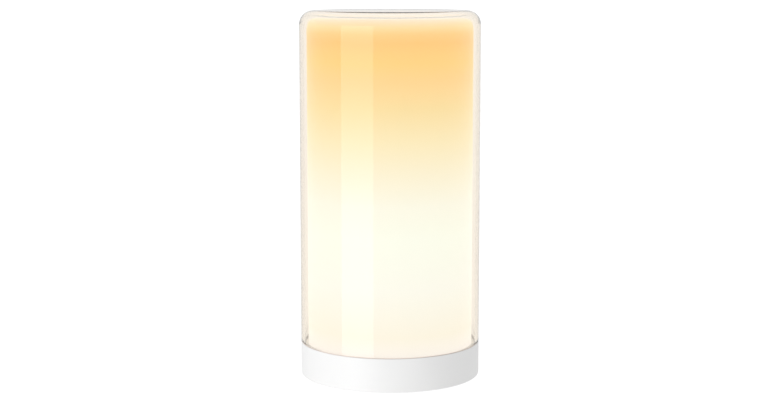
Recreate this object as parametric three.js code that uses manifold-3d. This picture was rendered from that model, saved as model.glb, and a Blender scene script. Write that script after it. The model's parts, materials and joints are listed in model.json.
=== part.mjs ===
// Smart speaker lamp: a clear cylindrical shell over a glowing opal diffuser, on a low white base that
// holds a down-firing loudspeaker, the main board, the inlet and the buttons.
// Millimetres, +Z up. The origin is the bottom centre, the front is -Y and the inlet is at the rear, +Y.
import * as THREE from "three";
import { mergeVertices } from "three/addons/utils/BufferGeometryUtils.js";
import Module from "manifold-3d";

const wasm = await Module();
wasm.setup();

// ---------------------------------------------------------------- driving dimensions
const OVERALL_HEIGHT = 201;
const OUTER_RADIUS = 49;
const FOOT_HEIGHT = 1.5;
const BASE_TOP = 20;
const BASE_WALL = 2.8;
const BOTTOM_EDGE_RADIUS = 1;

const SHELL_WALL = 2;
const SHELL_CORNER = 7.4;
const SHELL_CROWN = 0.4;
const SHELL_INNER_CROWN = 0.8;
const SHELL_SEAT = 20.4;
const SPIGOT_BOTTOM = 16.8;
const SPIGOT_RADIUS = 47.9;

const DIFFUSER_RADIUS = 45;
const DIFFUSER_WALL = 1.8;
const DIFFUSER_TOP = 197;
const DIFFUSER_SHOULDER = 7;

const DECK_TOP = 19.6;
const DECK_THICKNESS = 2;
const DECK_RADIUS = 46.6;

const PLATE_BOTTOM = 21.2;
const PLATE_TOP = 22.7;
const PLATE_RADIUS = 42.9;
const PLATE_SCREW_RADIUS = 38.8;
const PLATE_SCREW_ANGLES = [0, 120, 240];

const COLUMN_WIDTH = 22;
const COLUMN_WALL = 2;
const COLUMN_TOP = 172;
const STRIP_WIDTH = 10;
const STRIP_LENGTH = 142;
const STRIP_THICKNESS = 1;
const LEDS_PER_STRIP = 10;

const COVER_RADIUS = 45.8;
const COVER_THICKNESS = 2;
const COVER_SCREW_RADIUS = 38;
const COVER_SCREW_ANGLES = [25, 155, 205, 335];
const COUNTERBORE_DEPTH = 1.2;
const FOOT_RADIUS = 5;
const FOOT_RECESS = 0.5;
const FOOT_RING_RADIUS = 38;
const FOOT_ANGLES = [45, 135, 225, 315];

const BOARD_BOTTOM = 7.2;
const BOARD_THICKNESS = 1.6;
const BOARD_INNER_RADIUS = 29;
const BOARD_OUTER_RADIUS = 43;
const COMPONENT_RADIUS = 36;

const INLET_HEIGHT = 10.5;
const POCKET_WIDTH = 13;
const POCKET_HEIGHT = 7.4;
const POCKET_BACK = 43.5;
const RECEPTACLE_WIDTH = 8.9;
const RECEPTACLE_HEIGHT = 3.2;

const BUTTON_HEIGHT = 10.5;
const BUTTON_ANGLES = { power: 110, volume_down: 122, volume_up: 134 };
const BUTTON_RADIUS = 2.9;
const BUTTON_HOLE_RADIUS = 3.2;
const MICROPHONE_ANGLES = { left: 168, right: 12 };
const MICROPHONE_PORT_HEIGHT = 12.5;
const MICROPHONE_PORT_RADIUS = 0.7;

const DRIVER_SCREW_RADIUS = 26.2;
const DRIVER_SCREW_ANGLES = [45, 135, 225, 315];
const SPEAKER_FLANGE_RADIUS = 28;
const CONE_RADIUS = 16.2;
const POLE_RADIUS = 5.6;
const HARNESS_X = 24;
const HARNESS_RADIUS = 0.9;

const LARGE_SEGMENTS = 40;
const MEDIUM_SEGMENTS = 20;
const SMALL_SEGMENTS = 10;
const TINY_SEGMENTS = 8;

// Heights that follow from the driving dimensions.
const COVER_TOP = FOOT_HEIGHT + COVER_THICKNESS;
const DECK_BOTTOM = DECK_TOP - DECK_THICKNESS;
const BOARD_TOP = BOARD_BOTTOM + BOARD_THICKNESS;
const COMPONENT_BOTTOM = BOARD_TOP + 0.1;
const BASE_INNER_RADIUS = OUTER_RADIUS - BASE_WALL;
const SHELL_INNER_RADIUS = OUTER_RADIUS - SHELL_WALL;

// ---------------------------------------------------------------- materials
function plastic(color, roughness) {
  return new THREE.MeshStandardMaterial({ color, roughness, metalness: 0 });
}

function metal(color, roughness) {
  return new THREE.MeshStandardMaterial({ color, roughness, metalness: 1 });
}

const materials = {
  clear: () => new THREE.MeshStandardMaterial({
    color: 0xf4f6f7, roughness: 0.03, metalness: 0, transparent: true, opacity: 0.25,
  }),
  opal: () => new THREE.MeshStandardMaterial({
    color: 0xfff3dc, roughness: 0.4, metalness: 0, emissive: 0xffd9a0, emissiveIntensity: 0.8,
  }),
  whiteShell: () => plastic(0xf4f4f3, 0.35),
  whiteInner: () => plastic(0xeeeeec, 0.5),
  rubber: () => plastic(0xb9b6b2, 0.85),
  cloth: () => plastic(0x26272a, 0.95),
  foam: () => plastic(0x1b1b1c, 0.95),
  board: () => plastic(0x14512f, 0.45),
  whiteBoard: () => plastic(0xf2f2ee, 0.4),
  blackPart: () => plastic(0x1c1c1e, 0.5),
  paper: () => plastic(0x2a2a2c, 0.8),
  amber: () => plastic(0xb5742c, 0.7),
  copper: () => metal(0xb87333, 0.35),
  aluminium: () => metal(0xc4c6c8, 0.35),
  steel: () => metal(0x9da0a3, 0.3),
  ferrite: () => plastic(0x3a3b3d, 0.6),
};

// ---------------------------------------------------------------- geometry helpers
function points(pairs) {
  return pairs.map(([r, z]) => new THREE.Vector2(r, z));
}

/** Points along an arc of the section, in degrees, both ends included. */
function arc(centreR, centreZ, radius, fromDegrees, toDegrees, steps) {
  const result = [];
  for (let i = 0; i <= steps; i += 1) {
    const angle = THREE.MathUtils.degToRad(fromDegrees + ((toDegrees - fromDegrees) * i) / steps);
    result.push([centreR + radius * Math.cos(angle), centreZ + radius * Math.sin(angle)]);
  }
  return result;
}

/** The outline of a shallow crown, from its middle out towards an edge at a radius and height. */
function crown(edgeRadius, edgeZ, rise, steps) {
  const result = [];
  for (let i = 0; i < steps; i += 1) {
    const share = i / steps;
    result.push([edgeRadius * share, edgeZ + rise * (1 - share * share)]);
  }
  return result;
}

/** Turns a section of [radius, z] pairs about Z. The section runs counter-clockwise around its material. */
function turned(section, segments = LARGE_SEGMENTS) {
  return new THREE.LatheGeometry(points(section), segments).rotateX(Math.PI / 2);
}

function ring(innerRadius, outerRadius, bottom, top, segments) {
  const section = [
    [innerRadius, bottom],
    [outerRadius, bottom],
    [outerRadius, top],
    [innerRadius, top],
    [innerRadius, bottom],
  ];
  return turned(section, segments);
}

function disc(radius, bottom, top, segments) {
  return turned([[0, bottom], [radius, bottom], [radius, top], [0, top]], segments);
}

/** A box given by its lowest and highest corners. */
function box(low, high) {
  const size = high.map((value, axis) => value - low[axis]);
  const geometry = new THREE.BoxGeometry(...size);
  return geometry.translate(...low.map((value, axis) => value + size[axis] / 2));
}

function roundedRectangle(width, height, radius) {
  const shape = new THREE.Shape();
  const x = width / 2;
  const y = height / 2;
  shape.moveTo(x - radius, -y);
  shape.absarc(x - radius, -y + radius, radius, -Math.PI / 2, 0, false);
  shape.absarc(x - radius, y - radius, radius, 0, Math.PI / 2, false);
  shape.absarc(-x + radius, y - radius, radius, Math.PI / 2, Math.PI, false);
  shape.absarc(-x + radius, -y + radius, radius, Math.PI, 1.5 * Math.PI, false);
  return shape;
}

function extruded(shape, bottom, top, curveSegments = 2) {
  const options = { depth: top - bottom, bevelEnabled: false, curveSegments };
  const geometry = new THREE.ExtrudeGeometry(shape, options);
  return geometry.translate(0, 0, bottom);
}

/** Extrudes a shape drawn in X and Z along +Y, from one y to another. */
function extrudedAlongY(shape, fromY, toY, centreZ) {
  const options = { depth: toY - fromY, bevelEnabled: false, curveSegments: 4 };
  const geometry = new THREE.ExtrudeGeometry(shape, options);
  return geometry.rotateX(Math.PI / 2).translate(0, toY, centreZ);
}

function polar(radius, degrees) {
  const angle = THREE.MathUtils.degToRad(degrees);
  return [radius * Math.cos(angle), radius * Math.sin(angle)];
}

/** A copy of a geometry, turned about Z by an angle after it is moved out to a radius along X. */
function atAngle(geometry, radius, degrees) {
  return geometry.clone().translate(radius, 0, 0).rotateZ(THREE.MathUtils.degToRad(degrees));
}

/** A cylinder along +X, from one distance to another, at a height. */
function radialPin(radius, from, to, height, segments = SMALL_SEGMENTS) {
  return disc(radius, from, to, segments).rotateY(Math.PI / 2).translate(0, 0, height);
}

function toSolid(geometry) {
  const bare = geometry.index ? geometry.toNonIndexed() : geometry.clone();
  bare.deleteAttribute("normal");
  bare.deleteAttribute("uv");
  const merged = mergeVertices(bare, 1e-4);
  const mesh = new wasm.Mesh({
    numProp: 3,
    vertProperties: new Float32Array(merged.attributes.position.array),
    triVerts: new Uint32Array(merged.index.array),
  });
  return new wasm.Manifold(mesh);
}

function toGeometry(solid) {
  const mesh = solid.getMesh();
  const geometry = new THREE.BufferGeometry();
  geometry.setAttribute("position", new THREE.BufferAttribute(mesh.vertProperties, 3));
  geometry.setIndex(new THREE.BufferAttribute(mesh.triVerts, 1));
  geometry.computeVertexNormals();
  return geometry;
}

/** Joins the added geometries to the first one, then cuts the removed ones away. */
function carved(base, { add = [], remove = [] }) {
  let solid = toSolid(base);
  for (const geometry of add) {
    solid = solid.add(toSolid(geometry));
  }
  for (const geometry of remove) {
    solid = solid.subtract(toSolid(geometry));
  }
  return toGeometry(solid);
}

// ---------------------------------------------------------------- the assembly
const speaker = new THREE.Group();
speaker.name = "smart_speaker";

function addPart(name, geometry, material, parent = speaker) {
  const mesh = new THREE.Mesh(geometry, material());
  mesh.name = name;
  parent.add(mesh);
  return mesh;
}

/** A pan-head screw whose head's underside is at z = 0, with its shank pointing down. */
function screwGeometry(headRadius, headHeight, shankRadius, shankLength) {
  const section = [
    [0, -shankLength],
    [shankRadius, -shankLength],
    [shankRadius, 0],
    [headRadius, 0],
    [headRadius, headHeight * 0.55],
    [headRadius * 0.7, headHeight],
    [0, headHeight],
  ];
  const arm = headRadius * 0.5;
  const slot = headRadius * 0.14;
  const depth = headHeight * 0.45;
  return carved(turned(section, TINY_SEGMENTS), {
    remove: [
      box([-arm, -slot, depth], [arm, slot, headHeight + 1]),
      box([-slot, -arm, depth], [slot, arm, headHeight + 1]),
    ],
  });
}

function addScrews(prefix, geometry, angles, radius, height, upsideDown = false) {
  angles.forEach((degrees, index) => {
    const screw = addPart(`${prefix}_${index + 1}`, geometry, materials.steel);
    screw.position.set(...polar(radius, degrees), height);
    screw.rotation.x = upsideDown ? Math.PI : 0;
  });
}

// ---- clear shell, its seal and the diffuser
function outerShell() {
  const corner = OUTER_RADIUS - SHELL_CORNER;
  const innerCorner = SHELL_CORNER - SHELL_WALL;
  const outerEdge = OVERALL_HEIGHT - SHELL_CROWN;
  const innerEdge = OVERALL_HEIGHT - SHELL_WALL;
  const section = [
    ...crown(corner, innerEdge, SHELL_INNER_CROWN, 3),
    ...arc(corner, innerEdge - innerCorner, innerCorner, 90, 0, 4),
    [SHELL_INNER_RADIUS, SPIGOT_BOTTOM],
    [SPIGOT_RADIUS, SPIGOT_BOTTOM],
    [SPIGOT_RADIUS, SHELL_SEAT],
    [OUTER_RADIUS, SHELL_SEAT],
    ...arc(corner, outerEdge - SHELL_CORNER, SHELL_CORNER, 0, 90, 5),
    ...crown(corner, outerEdge, SHELL_CROWN, 3).reverse(),
  ];
  return turned(section);
}

function diffuser() {
  const inner = DIFFUSER_RADIUS - DIFFUSER_WALL;
  const corner = DIFFUSER_RADIUS - DIFFUSER_SHOULDER;
  const cornerZ = DIFFUSER_TOP - DIFFUSER_SHOULDER;
  const beadInner = 41.5;
  const beadTop = 21;
  const section = [
    [0, DIFFUSER_TOP - DIFFUSER_WALL],
    ...arc(corner, cornerZ, DIFFUSER_SHOULDER - DIFFUSER_WALL, 90, 0, 3),
    [inner, beadTop],
    [beadInner, beadTop],
    [beadInner, DECK_TOP],
    [DIFFUSER_RADIUS, DECK_TOP],
    ...arc(corner, cornerZ, DIFFUSER_SHOULDER, 0, 90, 4),
    [0, DIFFUSER_TOP],
  ];
  return turned(section);
}

function addLamp() {
  const sealInner = 48.1;
  const sealOuter = 48.7;
  addPart("outer_shell", outerShell(), materials.clear);
  addPart("shell_gasket", ring(sealInner, sealOuter, BASE_TOP, SHELL_SEAT, LARGE_SEGMENTS), materials.rubber);
  addPart("diffuser", diffuser(), materials.opal);
  addLightPlate();
  addColumn();
}

// ---- plate that clamps the diffuser's bead and carries the light column
function addLightPlate() {
  const footInner = 36.5;
  const footOuter = 41.2;
  const collarWidth = COLUMN_WIDTH + 5;
  const collarOpening = COLUMN_WIDTH + 0.6;
  const collarTop = 27;
  const screwHole = 1.3;
  const plate = [
    [0, PLATE_BOTTOM],
    [footInner, PLATE_BOTTOM],
    [footInner, DECK_TOP],
    [footOuter, DECK_TOP],
    [footOuter, PLATE_BOTTOM],
    [PLATE_RADIUS, PLATE_BOTTOM],
    [PLATE_RADIUS, PLATE_TOP],
    [0, PLATE_TOP],
  ];
  const holes = PLATE_SCREW_ANGLES.map((degrees) => (
    atAngle(disc(screwHole, DECK_TOP - 1, PLATE_TOP + 1, TINY_SEGMENTS), PLATE_SCREW_RADIUS, degrees)
  ));
  const geometry = carved(turned(plate), {
    add: [extruded(roundedRectangle(collarWidth, collarWidth, 3), PLATE_TOP - 0.5, collarTop)],
    remove: [
      extruded(roundedRectangle(collarOpening, collarOpening, 2.2), PLATE_TOP, collarTop + 1),
      atAngle(disc(HARNESS_RADIUS * 2, PLATE_BOTTOM - 1, PLATE_TOP + 1, SMALL_SEGMENTS), HARNESS_X, 0),
      ...holes,
    ],
  });
  addPart("light_plate", geometry, materials.whiteInner);
  const screw = screwGeometry(2.2, 1.3, 1, 4.8);
  addScrews("plate_screw", screw, PLATE_SCREW_ANGLES, PLATE_SCREW_RADIUS, PLATE_TOP);
}

// ---- light column: an aluminium tube with a strip of LEDs on each face
function ledStrip() {
  const ledWidth = 3.4;
  const ledHeight = 0.8;
  const pitch = STRIP_LENGTH / LEDS_PER_STRIP;
  const strip = box([-STRIP_WIDTH / 2, 0, 0], [STRIP_WIDTH / 2, STRIP_THICKNESS, STRIP_LENGTH]);
  const leds = [];
  for (let i = 0; i < LEDS_PER_STRIP; i += 1) {
    const middle = pitch * (i + 0.5);
    leds.push(box(
      [-ledWidth / 2, STRIP_THICKNESS - 0.2, middle - ledWidth / 2],
      [ledWidth / 2, STRIP_THICKNESS + ledHeight, middle + ledWidth / 2],
    ));
  }
  return carved(strip, { add: leds });
}

function addColumn() {
  const outline = roundedRectangle(COLUMN_WIDTH, COLUMN_WIDTH, 2);
  const bore = COLUMN_WIDTH - 2 * COLUMN_WALL;
  outline.holes.push(roundedRectangle(bore, bore, 1));
  const bottom = PLATE_TOP + 0.1;
  addPart("led_core", extruded(outline, bottom, COLUMN_TOP), materials.aluminium);

  const stripGap = 0.15;
  const stripBottom = 28.5;
  const strip = ledStrip();
  for (let i = 0; i < 4; i += 1) {
    const face = new THREE.Group();
    face.rotation.z = (i * Math.PI) / 2;
    speaker.add(face);
    const mesh = addPart(`led_strip_${i + 1}`, strip, materials.whiteBoard, face);
    mesh.position.set(0, COLUMN_WIDTH / 2 + stripGap, stripBottom);
  }

  const capBottom = COLUMN_TOP + 0.1;
  const capTop = capBottom + 3;
  const plug = bore - 0.8;
  const cap = carved(extruded(roundedRectangle(COLUMN_WIDTH, COLUMN_WIDTH, 2), capBottom, capTop), {
    add: [extruded(roundedRectangle(plug, plug, 1), capBottom - 5, capBottom + 0.5)],
  });
  addPart("core_cap", cap, materials.whiteInner);
}

// ---- base housing with its deck, bosses, inlet pocket and button holes
function inletPocket() {
  const collarFront = 41.5;
  return {
    collar: box([-8.5, collarFront, 5.2], [8.5, BASE_INNER_RADIUS + 1, 15.8]),
    pocket: extrudedAlongY(
      roundedRectangle(POCKET_WIDTH, POCKET_HEIGHT, 1.5), POCKET_BACK, OUTER_RADIUS + 1, INLET_HEIGHT,
    ),
    slot: extrudedAlongY(
      roundedRectangle(RECEPTACLE_WIDTH + 0.6, RECEPTACLE_HEIGHT + 0.6, 1.85),
      collarFront - 1, POCKET_BACK + 1, INLET_HEIGHT,
    ),
  };
}

function baseHousing() {
  const webRadius = 44.6;
  const slopeBottom = 14.6;
  const grooveOuter = 48.1;
  const grooveFloor = 16.5;
  const edge = OUTER_RADIUS - BOTTOM_EDGE_RADIUS;
  const section = [
    [0, DECK_BOTTOM],
    [webRadius, DECK_BOTTOM],
    [webRadius, slopeBottom + BASE_INNER_RADIUS - webRadius],
    [BASE_INNER_RADIUS, slopeBottom],
    [BASE_INNER_RADIUS, FOOT_HEIGHT],
    ...arc(edge, FOOT_HEIGHT + BOTTOM_EDGE_RADIUS, BOTTOM_EDGE_RADIUS, -90, 0, 3),
    [OUTER_RADIUS, BASE_TOP],
    [grooveOuter, BASE_TOP],
    [grooveOuter, grooveFloor],
    [DECK_RADIUS, grooveFloor],
    [DECK_RADIUS, DECK_TOP],
    [0, DECK_TOP],
  ];
  const bossRadius = 4;
  const spigotRadius = 2.8;
  const pilotRadius = 1.5;
  const pilotTop = 13;
  const add = [];
  const remove = [];
  for (const degrees of COVER_SCREW_ANGLES) {
    const boss = disc(bossRadius, COMPONENT_BOTTOM, DECK_BOTTOM + 1, SMALL_SEGMENTS);
    const spigot = disc(spigotRadius, COVER_TOP + 0.2, COMPONENT_BOTTOM + 1, SMALL_SEGMENTS);
    const pilot = disc(pilotRadius, COVER_TOP - 1, pilotTop, TINY_SEGMENTS);
    add.push(atAngle(boss, COVER_SCREW_RADIUS, degrees));
    add.push(atAngle(spigot, COVER_SCREW_RADIUS, degrees));
    remove.push(atAngle(pilot, COVER_SCREW_RADIUS, degrees));
  }
  const inlet = inletPocket();
  add.push(inlet.collar);
  remove.push(inlet.pocket, inlet.slot);
  for (const degrees of PLATE_SCREW_ANGLES) {
    const pilot = disc(1.25, DECK_BOTTOM - 1, DECK_TOP + 1, TINY_SEGMENTS);
    remove.push(atAngle(pilot, PLATE_SCREW_RADIUS, degrees));
  }
  for (const degrees of Object.values(BUTTON_ANGLES)) {
    const hole = radialPin(BUTTON_HOLE_RADIUS, BASE_INNER_RADIUS - 1, OUTER_RADIUS + 1, BUTTON_HEIGHT, 12);
    remove.push(atAngle(hole, 0, degrees));
  }
  for (const degrees of Object.values(MICROPHONE_ANGLES)) {
    const port = radialPin(
      MICROPHONE_PORT_RADIUS, BASE_INNER_RADIUS - 1, OUTER_RADIUS + 1, MICROPHONE_PORT_HEIGHT, TINY_SEGMENTS,
    );
    remove.push(atAngle(port, 0, degrees));
  }
  remove.push(atAngle(disc(HARNESS_RADIUS * 2, DECK_BOTTOM - 1, DECK_TOP + 1, SMALL_SEGMENTS), HARNESS_X, 0));
  return carved(turned(section), { add, remove });
}

// ---- bottom cover with the sound slots, its screws and the rubber feet
function grilleSlots() {
  const rings = [
    { count: 8, inner: 5, outer: 11 },
    { count: 14, inner: 13.5, outer: 20 },
  ];
  const slotWidth = 2.4;
  const slots = [];
  for (const { count, inner, outer } of rings) {
    const slot = box([inner, -slotWidth / 2, FOOT_HEIGHT - 1], [outer, slotWidth / 2, COVER_TOP + 1]);
    for (let i = 0; i < count; i += 1) {
      slots.push(atAngle(slot, 0, (360 / count) * (i + 0.5)));
    }
  }
  return slots;
}

function bottomCover() {
  const counterboreTop = FOOT_HEIGHT + COUNTERBORE_DEPTH;
  const add = [];
  const remove = grilleSlots();
  for (const degrees of COVER_SCREW_ANGLES) {
    const standoff = ring(3.2, 4.6, COVER_TOP - 0.5, BOARD_BOTTOM - 0.1, SMALL_SEGMENTS);
    const counterbore = disc(2.7, FOOT_HEIGHT - 1, counterboreTop, SMALL_SEGMENTS);
    const hole = disc(1.5, FOOT_HEIGHT, COVER_TOP + 1, TINY_SEGMENTS);
    add.push(atAngle(standoff, COVER_SCREW_RADIUS, degrees));
    remove.push(atAngle(counterbore, COVER_SCREW_RADIUS, degrees));
    remove.push(atAngle(hole, COVER_SCREW_RADIUS, degrees));
  }
  for (const degrees of FOOT_ANGLES) {
    const recess = disc(FOOT_RADIUS + 0.2, FOOT_HEIGHT - 1, FOOT_HEIGHT + FOOT_RECESS, 12);
    remove.push(atAngle(recess, FOOT_RING_RADIUS, degrees));
  }
  for (const degrees of DRIVER_SCREW_ANGLES) {
    const pilot = disc(1.25, COVER_TOP - 1.2, COVER_TOP + 1, TINY_SEGMENTS);
    remove.push(atAngle(pilot, DRIVER_SCREW_RADIUS, degrees));
  }
  return carved(disc(COVER_RADIUS, FOOT_HEIGHT, COVER_TOP, LARGE_SEGMENTS), { add, remove });
}

function footGeometry() {
  const edge = 0.4;
  const section = [
    [0, 0],
    [FOOT_RADIUS - edge, 0],
    [FOOT_RADIUS, edge],
    [FOOT_RADIUS, FOOT_HEIGHT + FOOT_RECESS],
    [0, FOOT_HEIGHT + FOOT_RECESS],
  ];
  return turned(section, 12);
}

function addBase() {
  addPart("base_housing", baseHousing(), materials.whiteShell);
  addPart("bottom_cover", bottomCover(), materials.whiteInner);
  const screw = screwGeometry(2.3, 0.9, 1.1, 7.5);
  const headSeat = FOOT_HEIGHT + COUNTERBORE_DEPTH;
  addScrews("cover_screw", screw, COVER_SCREW_ANGLES, COVER_SCREW_RADIUS, headSeat, true);
  const foot = footGeometry();
  FOOT_ANGLES.forEach((degrees, index) => {
    addPart(`foot_${index + 1}`, foot, materials.rubber).position.set(...polar(FOOT_RING_RADIUS, degrees), 0);
  });
  addPart("grille_cloth", disc(22.2, COVER_TOP, COVER_TOP + 0.3, MEDIUM_SEGMENTS), materials.cloth);
}

// ---- down-firing loudspeaker on the bottom cover; its front faces down
function basket() {
  const front = 4.3;
  const section = [
    [23.2, front],
    [SPEAKER_FLANGE_RADIUS, front],
    [SPEAKER_FLANGE_RADIUS, 5.5],
    [24.4, 5.5],
    [24.4, 6.9],
    [15.2, 11.4],
    [8.2, 11.4],
    [8.2, 10.6],
    [14.5, 10.6],
    [22.1, 6.9],
    [20.5, 6.9],
    [20.5, 5.9],
    [23.2, 5.9],
    [23.2, front],
  ];
  const windows = 6;
  const windowRadius = 2.7;
  const remove = [];
  for (let i = 0; i < windows; i += 1) {
    remove.push(atAngle(disc(windowRadius, 7, 12, TINY_SEGMENTS), 18.9, (360 / windows) * i));
  }
  for (const degrees of DRIVER_SCREW_ANGLES) {
    remove.push(atAngle(disc(1.25, front - 1, 6, TINY_SEGMENTS), DRIVER_SCREW_RADIUS, degrees));
  }
  return carved(turned(section, MEDIUM_SEGMENTS), { remove });
}

function surround() {
  const middle = 18.1;
  const bottom = 5.4;
  const top = 5.85;
  const inner = 1.8;
  const outer = 2.3;
  const lift = THREE.MathUtils.radToDeg(Math.asin((top - bottom) / outer));
  const section = [
    [15.4, bottom],
    ...arc(middle, bottom, inner, 180, 0, 5),
    [22.9, bottom],
    [22.9, top],
    ...arc(middle, bottom, outer, lift, 180 - lift, 5),
    [15.4, top],
    [15.4, bottom],
  ];
  return turned(section, MEDIUM_SEGMENTS);
}

function spider() {
  const inner = 6.8;
  const lip = 12.6;
  const outer = 14.2;
  const middle = 10.2;
  const half = 0.15;
  const wave = 0.15;
  const steps = 6;
  const lower = [];
  for (let i = 0; i <= steps; i += 1) {
    const radius = inner + ((lip - inner) * i) / steps;
    lower.push([radius, middle - half + (i % 2 === 0 ? 0 : wave)]);
  }
  const upper = lower.map(([radius, z]) => [radius, z + 2 * half]).reverse();
  const lipTop = 10.6;
  const rim = [[outer, middle - half], [outer, lipTop], [lip + 0.2, lipTop]];
  const section = [...lower, ...rim, ...upper, lower[0]];
  return turned(section, MEDIUM_SEGMENTS);
}

function voiceCoil() {
  const inner = 6.2;
  const former = 6.6;
  const winding = 7.1;
  const section = [
    [inner, 9], [former, 9], [former, 11.4], [winding, 11.4], [winding, 13.6], [former, 13.6],
    [former, 14.6], [inner, 14.6], [inner, 9],
  ];
  return turned(section, MEDIUM_SEGMENTS);
}

function cone() {
  const section = [
    [6.8, 9.3], [10.5, 6.9], [15, 4.9], [CONE_RADIUS, 4.9], [CONE_RADIUS, 5.35], [15.2, 5.35],
    [10.9, 7.35], [7.3, 9.9], [6.8, 9.9], [6.8, 9.3],
  ];
  return turned(section, MEDIUM_SEGMENTS);
}

function dustCap() {
  const section = [
    [0, 6.4], [3.5, 6.75], [6.2, 7.7], [7.5, 8.5], [7.1, 8.55], [6, 8.1], [3.4, 7.2], [0, 6.85],
  ];
  return turned(section, MEDIUM_SEGMENTS);
}

function addLoudspeaker() {
  const plateBottom = 11.4;
  const magnetBottom = 12.9;
  const yokeBottom = 16;
  const yokeTop = 17.2;
  addPart("driver_gasket", ring(22.5, 23.8, COVER_TOP, 4.3, MEDIUM_SEGMENTS), materials.foam);
  addPart("driver_basket", basket(), materials.steel);
  addPart("surround", surround(), materials.foam);
  addPart("cone", cone(), materials.paper);
  addPart("dust_cap", dustCap(), materials.paper);
  addPart("voice_coil", voiceCoil(), materials.copper);
  addPart("spider", spider(), materials.amber);
  addPart("top_plate", ring(7.6, 13.5, plateBottom, magnetBottom, MEDIUM_SEGMENTS), materials.steel);
  addPart("magnet", ring(9, 14.5, magnetBottom, yokeBottom, MEDIUM_SEGMENTS), materials.ferrite);
  const yoke = [
    [0, 11.2],
    [POLE_RADIUS, 11.2],
    [POLE_RADIUS, yokeBottom],
    [13.2, yokeBottom],
    [13.2, yokeTop],
    [0, yokeTop],
  ];
  addPart("yoke", turned(yoke, MEDIUM_SEGMENTS), materials.steel);
  const screw = screwGeometry(1.7, 1.1, 0.95, 3.1);
  addScrews("driver_screw", screw, DRIVER_SCREW_ANGLES, DRIVER_SCREW_RADIUS, 5.5);
}

// ---- main board and what it carries
function mainBoard() {
  const notchHalf = 9.2;
  const remove = COVER_SCREW_ANGLES.map((degrees) => (
    atAngle(disc(3.2, BOARD_BOTTOM - 1, BOARD_TOP + 1, SMALL_SEGMENTS), COVER_SCREW_RADIUS, degrees)
  ));
  remove.push(box([-notchHalf, 41.2, BOARD_BOTTOM - 1], [notchHalf, OUTER_RADIUS, BOARD_TOP + 1]));
  const board = ring(BOARD_INNER_RADIUS, BOARD_OUTER_RADIUS, BOARD_BOTTOM, BOARD_TOP, LARGE_SEGMENTS);
  return carved(board, { remove });
}

/** Puts a part on the board, with its own X axis pointing away from the middle. */
function addOnBoard(name, geometry, material, degrees, radius = COMPONENT_RADIUS) {
  const mesh = addPart(name, geometry, material);
  mesh.position.set(...polar(radius, degrees), COMPONENT_BOTTOM);
  mesh.rotation.z = THREE.MathUtils.degToRad(degrees);
}

/** A low can or chip package: a wide foot with a slightly smaller top. */
function packageGeometry(depth, width, height) {
  const rim = 0.4;
  return carved(extruded(roundedRectangle(depth, width, 0.8), 0, height * 0.3, 1), {
    add: [extruded(roundedRectangle(depth - 2 * rim, width - 2 * rim, 0.8), height * 0.2, height, 1)],
  });
}

function capacitorGeometry() {
  const radius = 4;
  const height = 8;
  const groove = 0.4;
  const section = [
    [0, 0], [radius, 0], [radius, 1], [radius - groove, 1.4], [radius, 1.8], [radius, height - 0.4],
    [radius - 0.4, height], [0, height],
  ];
  return turned(section, SMALL_SEGMENTS);
}

function connectorGeometry(depth, width, height) {
  const wall = 0.8;
  const shell = box([-depth / 2, -width / 2, 0], [depth / 2, width / 2, height]);
  return carved(shell, {
    remove: [
      box([-depth / 2 + wall, -width / 2 + wall, height - 1], [depth / 2 - wall, -1.4, height + 1]),
      box([-depth / 2 + wall, 1.4, height - 1], [depth / 2 - wall, width / 2 - wall, height + 1]),
    ],
  });
}

function addInlet() {
  const front = POCKET_BACK - 0.3;
  const back = front - 7.4;
  const wall = 0.35;
  const corner = RECEPTACLE_HEIGHT / 2 - 0.05;
  const outside = roundedRectangle(RECEPTACLE_WIDTH, RECEPTACLE_HEIGHT, corner);
  const inside = roundedRectangle(RECEPTACLE_WIDTH - 2 * wall, RECEPTACLE_HEIGHT - 2 * wall, corner - wall);
  const body = extrudedAlongY(outside, back, front, INLET_HEIGHT);
  const cavity = extrudedAlongY(inside, back + 1, front + 1, INLET_HEIGHT);
  addPart("inlet_receptacle", carved(body, { remove: [cavity] }), materials.steel);
  const tongueHalf = 3.3;
  const tongue = box(
    [-tongueHalf, back + 1.3, INLET_HEIGHT - 0.35],
    [tongueHalf, front - 1, INLET_HEIGHT + 0.35],
  );
  addPart("inlet_tongue", tongue, materials.blackPart);
}

function addMicrophones() {
  const inner = 40.5;
  const outer = 45.7;
  const top = 14.2;
  const portStart = outer - 1.5;
  const portEnd = outer + 1;
  const port = radialPin(
    MICROPHONE_PORT_RADIUS, portStart, portEnd, MICROPHONE_PORT_HEIGHT, TINY_SEGMENTS,
  );
  const boot = carved(box([inner, -2.5, COMPONENT_BOTTOM], [outer, 2.5, top]), { remove: [port] });
  for (const [side, degrees] of Object.entries(MICROPHONE_ANGLES)) {
    addPart(`microphone_${side}`, boot, materials.blackPart).rotation.z = THREE.MathUtils.degToRad(degrees);
  }
}

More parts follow.
